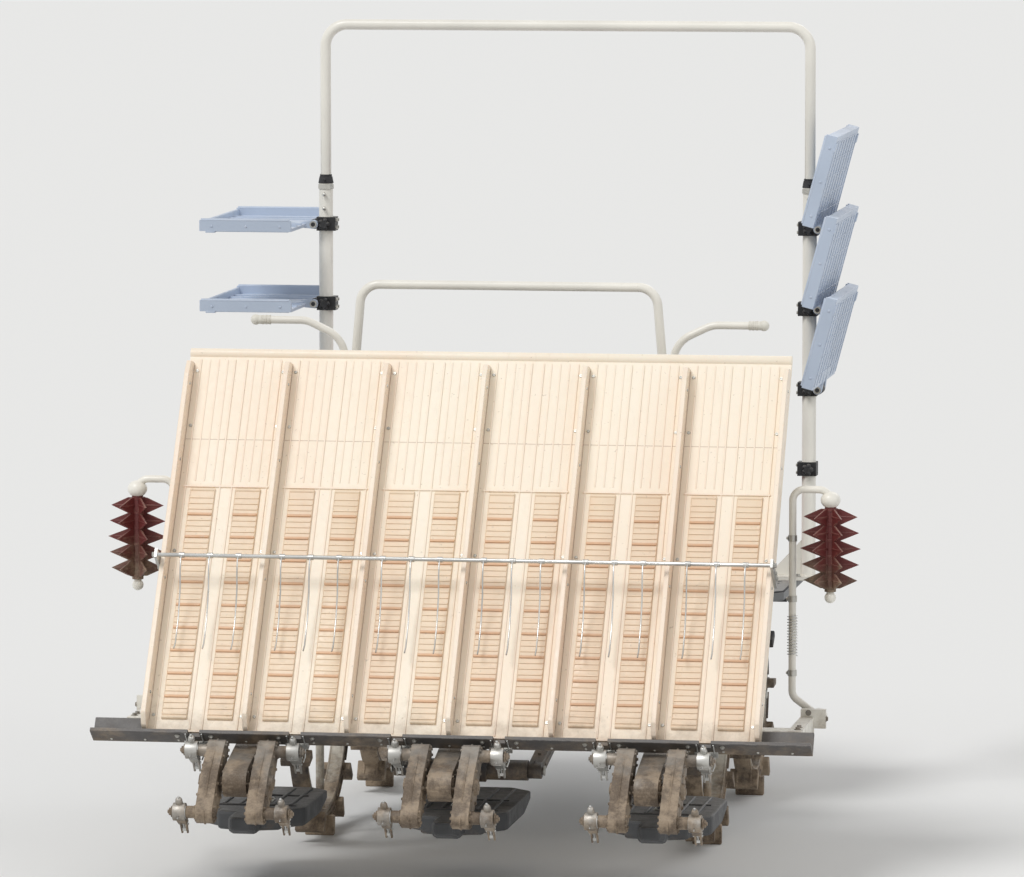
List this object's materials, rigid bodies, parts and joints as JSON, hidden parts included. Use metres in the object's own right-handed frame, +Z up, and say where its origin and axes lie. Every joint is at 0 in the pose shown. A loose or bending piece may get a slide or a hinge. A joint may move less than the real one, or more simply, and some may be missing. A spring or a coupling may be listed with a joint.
{
  "type": "riding rice transplanter",
  "caption": "Riding rice transplanter with lugged wheels, seedling tray, rotary planting arms, folding shelves, markers and a tall rack arch.",
  "frame": {"origin": "on the floor, midway between the ends and the sides", "axes": "+Y towards the front, +X to the right, +Z up"},
  "size_m": [2.264, 3.0498, 2.465],
  "materials": {
    "dark_paint": "satin",
    "case_grey": "matte",
    "engine_grey": "matte",
    "red_panel": "satin",
    "lamp_lens": "gloss",
    "dark_plastic": "matte",
    "deck_grey": "matte",
    "seat_vinyl": "satin",
    "ivory_tube": "satin",
    "black_plastic": "matte",
    "bright_steel": "satin",
    "rim_paint": "satin",
    "tyre_rubber": "matte",
    "planting_alloy": "matte",
    "rail_paint": "satin",
    "float_plastic": "matte",
    "tray_cream": "satin",
    "tray_rib": "satin",
    "belt_rubber": "matte",
    "arm_alloy": "matte",
    "marker_red": "matte",
    "shelf_blue": "satin"
  },
  "bodies": {
    "chassis": {"chassis_frame": "dark_paint", "front_axle_case": "case_grey", "rear_axle_case": "case_grey", "gearbox": "case_grey", "engine": "engine_grey", "bonnet": "red_panel", "headlamps": "lamp_lens", "dash_console": "dark_plastic", "deck": "deck_grey", "seat_base": "dark_plastic", "seat": "seat_vinyl", "rear_rail": "ivory_tube", "rack_posts": "ivory_tube", "arch_tube": "ivory_tube", "rack_brackets": "black_plastic", "lift_ram": "case_grey"},
    "steering_wheel": {"steering_wheel": "black_plastic"},
    "knuckle_left": {"knuckle_left": "case_grey"},
    "knuckle_right": {"knuckle_right": "case_grey"},
    "tie_rod": {"tie_rod": "bright_steel"},
    "wheel_front_left": {"front_rim_left": "rim_paint", "front_tyre_left": "tyre_rubber"},
    "wheel_front_right": {"front_rim_right": "rim_paint", "front_tyre_right": "tyre_rubber"},
    "wheel_rear_left": {"rear_rim_left": "rim_paint", "rear_tyre_left": "tyre_rubber"},
    "wheel_rear_right": {"rear_rim_right": "rim_paint", "rear_tyre_right": "tyre_rubber"},
    "lower_links": {"lower_links": "dark_paint"},
    "upper_link": {"upper_link": "dark_paint"},
    "hitch": {"hitch": "dark_paint"},
    "ram_rod": {"ram_rod": "bright_steel"},
    "planting_frame": {"planting_beam": "ivory_tube", "planting_cases": "planting_alloy", "tray_support": "rail_paint", "floats": "float_plastic"},
    "tray": {"tray_panel": "tray_cream", "tray_dividers": "tray_rib", "feed_belts": "belt_rubber", "press_rod": "bright_steel"},
    "rotors": {"rotor_cases": "planting_alloy"},
    "arms_a": {"arms_a": "arm_alloy"},
    "arms_b": {"arms_b": "arm_alloy"},
    "marker_left": {"marker_left": "ivory_tube"},
    "marker_right": {"marker_right": "ivory_tube"},
    "marker_rotor_left": {"marker_rotor_left": "marker_red"},
    "marker_rotor_right": {"marker_rotor_right": "marker_red"},
    "shelf_left_1": {"shelf_left_1": "shelf_blue"},
    "shelf_left_2": {"shelf_left_2": "shelf_blue"},
    "shelf_left_3": {"shelf_left_3": "shelf_blue"},
    "shelf_right_1": {"shelf_right_1": "shelf_blue"},
    "shelf_right_2": {"shelf_right_2": "shelf_blue"},
    "shelf_right_3": {"shelf_right_3": "shelf_blue"}
  },
  "joints": [
    {"name": "steer", "type": "hinge", "parent": "chassis", "child": "knuckle_left", "pos_m": [-0.5, 0.965, 0.45], "axis": [0, 0, 1], "range_deg": [-40, 40]},
    {"name": "steer_right", "type": "hinge", "parent": "chassis", "child": "knuckle_right", "pos_m": [0.5, 0.965, 0.45], "axis": [0, 0, 1], "range_deg": [-40, 40]},
    {"name": "tie_rod_pin", "type": "hinge", "parent": "knuckle_left", "child": "tie_rod", "pos_m": [-0.5, 0.835, 0.43], "axis": [0, 0, 1], "range_deg": [-40, 40]},
    {"name": "steering_column", "type": "hinge", "parent": "chassis", "child": "steering_wheel", "pos_m": [0, 0.61, 1.19], "axis": [0, -0.5, 0.866], "range_deg": [-330, 330]},
    {"name": "spin_front_left", "type": "hinge", "parent": "knuckle_left", "child": "wheel_front_left", "pos_m": [-0.6, 0.965, 0.325], "axis": [1, 0, 0], "continuous": true},
    {"name": "spin_front_right", "type": "hinge", "parent": "knuckle_right", "child": "wheel_front_right", "pos_m": [0.6, 0.965, 0.325], "axis": [1, 0, 0], "continuous": true},
    {"name": "spin_rear_left", "type": "hinge", "parent": "chassis", "child": "wheel_rear_left", "pos_m": [-0.6, -0.085, 0.45], "axis": [1, 0, 0], "continuous": true},
    {"name": "spin_rear_right", "type": "hinge", "parent": "chassis", "child": "wheel_rear_right", "pos_m": [0.6, -0.085, 0.45], "axis": [1, 0, 0], "continuous": true},
    {"name": "lift", "type": "hinge", "parent": "chassis", "child": "lower_links", "pos_m": [0, -0.335, 0.44], "axis": [-1, 0, 0], "range_deg": [-8, 40]},
    {"name": "upper_link_pin", "type": "hinge", "parent": "chassis", "child": "upper_link", "pos_m": [0, -0.335, 0.72], "axis": [-1, 0, 0], "range_deg": [-8, 40]},
    {"name": "hitch_pin", "type": "hinge", "parent": "lower_links", "child": "hitch", "pos_m": [0, -0.92588, 0.33581], "axis": [-1, 0, 0], "range_deg": [-40, 8]},
    {"name": "ram_stroke", "type": "slide", "parent": "chassis", "child": "ram_rod", "axis": [0, -1, 0], "range_m": [-0.014, 0.068]},
    {"name": "roll", "type": "hinge", "parent": "hitch", "child": "planting_frame", "pos_m": [0, -1.00988, 0.44981], "axis": [0, 1, 0], "range_deg": [-4, 4]},
    {"name": "tray_slide", "type": "slide", "parent": "planting_frame", "child": "tray", "axis": [1, 0, 0], "range_m": [-0.14, 0.14]},
    {"name": "rotor_spin", "type": "hinge", "parent": "planting_frame", "child": "rotors", "pos_m": [0, -1.401, 0.352], "axis": [-1, 0, 0], "continuous": true},
    {"name": "arms_a_pin", "type": "hinge", "parent": "rotors", "child": "arms_a", "pos_m": [0, -1.30907, 0.42913], "axis": [-1, 0, 0], "continuous": true},
    {"name": "arms_b_pin", "type": "hinge", "parent": "rotors", "child": "arms_b", "pos_m": [0, -1.49293, 0.27487], "axis": [-1, 0, 0], "continuous": true},
    {"name": "marker_left_fold", "type": "hinge", "parent": "planting_frame", "child": "marker_left", "pos_m": [-1.01, -0.68, 0.48], "axis": [0, -1, 0], "range_deg": [0, 90]},
    {"name": "marker_left_spin", "type": "hinge", "parent": "marker_left", "child": "marker_rotor_left", "pos_m": [-1.042, -0.68, 0.95], "axis": [0, 0, 1], "continuous": true},
    {"name": "marker_right_fold", "type": "hinge", "parent": "planting_frame", "child": "marker_right", "pos_m": [1.01, -0.68, 0.48], "axis": [0, 1, 0], "range_deg": [0, 90]},
    {"name": "marker_right_spin", "type": "hinge", "parent": "marker_right", "child": "marker_rotor_right", "pos_m": [1.042, -0.68, 0.95], "axis": [0, 0, 1], "continuous": true},
    {"name": "shelf_left_1_fold", "type": "hinge", "parent": "chassis", "child": "shelf_left_1", "pos_m": [-0.812, 1.015, 1.3], "axis": [0, 1, 0], "range_deg": [0, 75]},
    {"name": "shelf_left_2_fold", "type": "hinge", "parent": "chassis", "child": "shelf_left_2", "pos_m": [-0.812, 1.015, 1.555], "axis": [0, 1, 0], "range_deg": [0, 75]},
    {"name": "shelf_left_3_fold", "type": "hinge", "parent": "chassis", "child": "shelf_left_3", "pos_m": [-0.812, 1.015, 1.81], "axis": [0, 1, 0], "range_deg": [0, 75]},
    {"name": "shelf_right_1_fold", "type": "hinge", "parent": "chassis", "child": "shelf_right_1", "pos_m": [0.812, 1.015, 1.3], "axis": [0, 1, 0], "range_deg": [0, 75]},
    {"name": "shelf_right_2_fold", "type": "hinge", "parent": "chassis", "child": "shelf_right_2", "pos_m": [0.812, 1.015, 1.555], "axis": [0, 1, 0], "range_deg": [0, 75]},
    {"name": "shelf_right_3_fold", "type": "hinge", "parent": "chassis", "child": "shelf_right_3", "pos_m": [0.812, 1.015, 1.81], "axis": [0, 1, 0], "range_deg": [0, 75]}
  ],
  "couplings": [
    {"joint": "steer_right", "follows": "steer", "ratio": 1},
    {"joint": "tie_rod_pin", "follows": "steer", "ratio": -1},
    {"joint": "steering_column", "follows": "steer", "ratio": 8},
    {"joint": "upper_link_pin", "follows": "lift", "ratio": 1},
    {"joint": "hitch_pin", "follows": "lift", "ratio": -1},
    {"joint": "ram_stroke", "follows": "lift", "m_per_rad": 0.096126},
    {"joint": "arms_a_pin", "follows": "rotor_spin", "ratio": -1},
    {"joint": "arms_b_pin", "follows": "rotor_spin", "ratio": -1},
    {"joint": "shelf_left_2_fold", "follows": "shelf_left_1_fold", "ratio": 1},
    {"joint": "shelf_left_3_fold", "follows": "shelf_left_1_fold", "ratio": 1},
    {"joint": "shelf_right_2_fold", "follows": "shelf_right_1_fold", "ratio": 1},
    {"joint": "shelf_right_3_fold", "follows": "shelf_right_1_fold", "ratio": 1}
  ]
}
